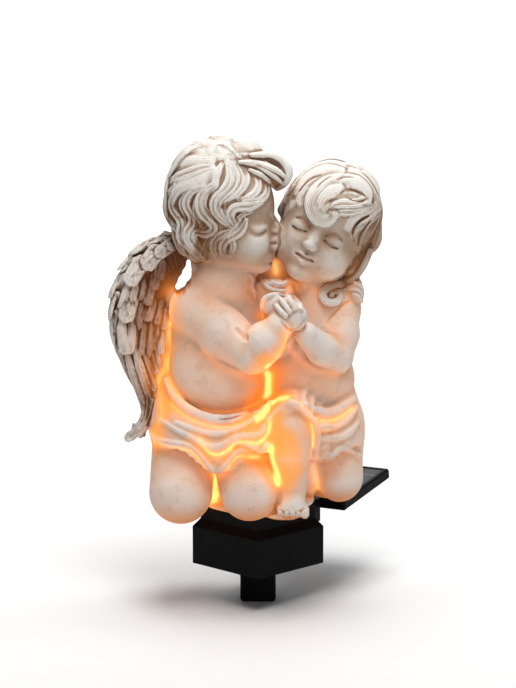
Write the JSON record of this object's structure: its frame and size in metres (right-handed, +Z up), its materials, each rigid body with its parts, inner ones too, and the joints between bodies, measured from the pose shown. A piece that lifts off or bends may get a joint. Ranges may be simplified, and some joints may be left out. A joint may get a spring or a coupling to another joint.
{
  "type": "solar garden stake light with a cherub statue",
  "caption": "Resin statue of two kneeling winged cherubs that kiss, on a small square solar light housing with a tilted panel behind it and a stake below, cut off at the ground.",
  "frame": {"origin": "middle of the stake's flat foot, where the stake meets the ground", "axes": "+Z up along the stake, -Y the side that the cherubs kneel towards, +X towards the girl, who is on the right seen from the front"},
  "size_m": [0.1371, 0.1258, 0.2233],
  "materials": {
    "ivory_resin": "matte cast resin, ivory with a brown wash in its recesses; light from inside glows orange in the seams between the figures",
    "black_plastic": "matte moulded black plastic",
    "solar_cell": "dark solar cell under a clear gloss coat"
  },
  "bodies": {
    "root": {"statue": "ivory_resin", "housing": "black_plastic", "solar_tray": "black_plastic", "solar_panel": "solar_cell", "stake": "black_plastic"}
  },
  "joints": []
}
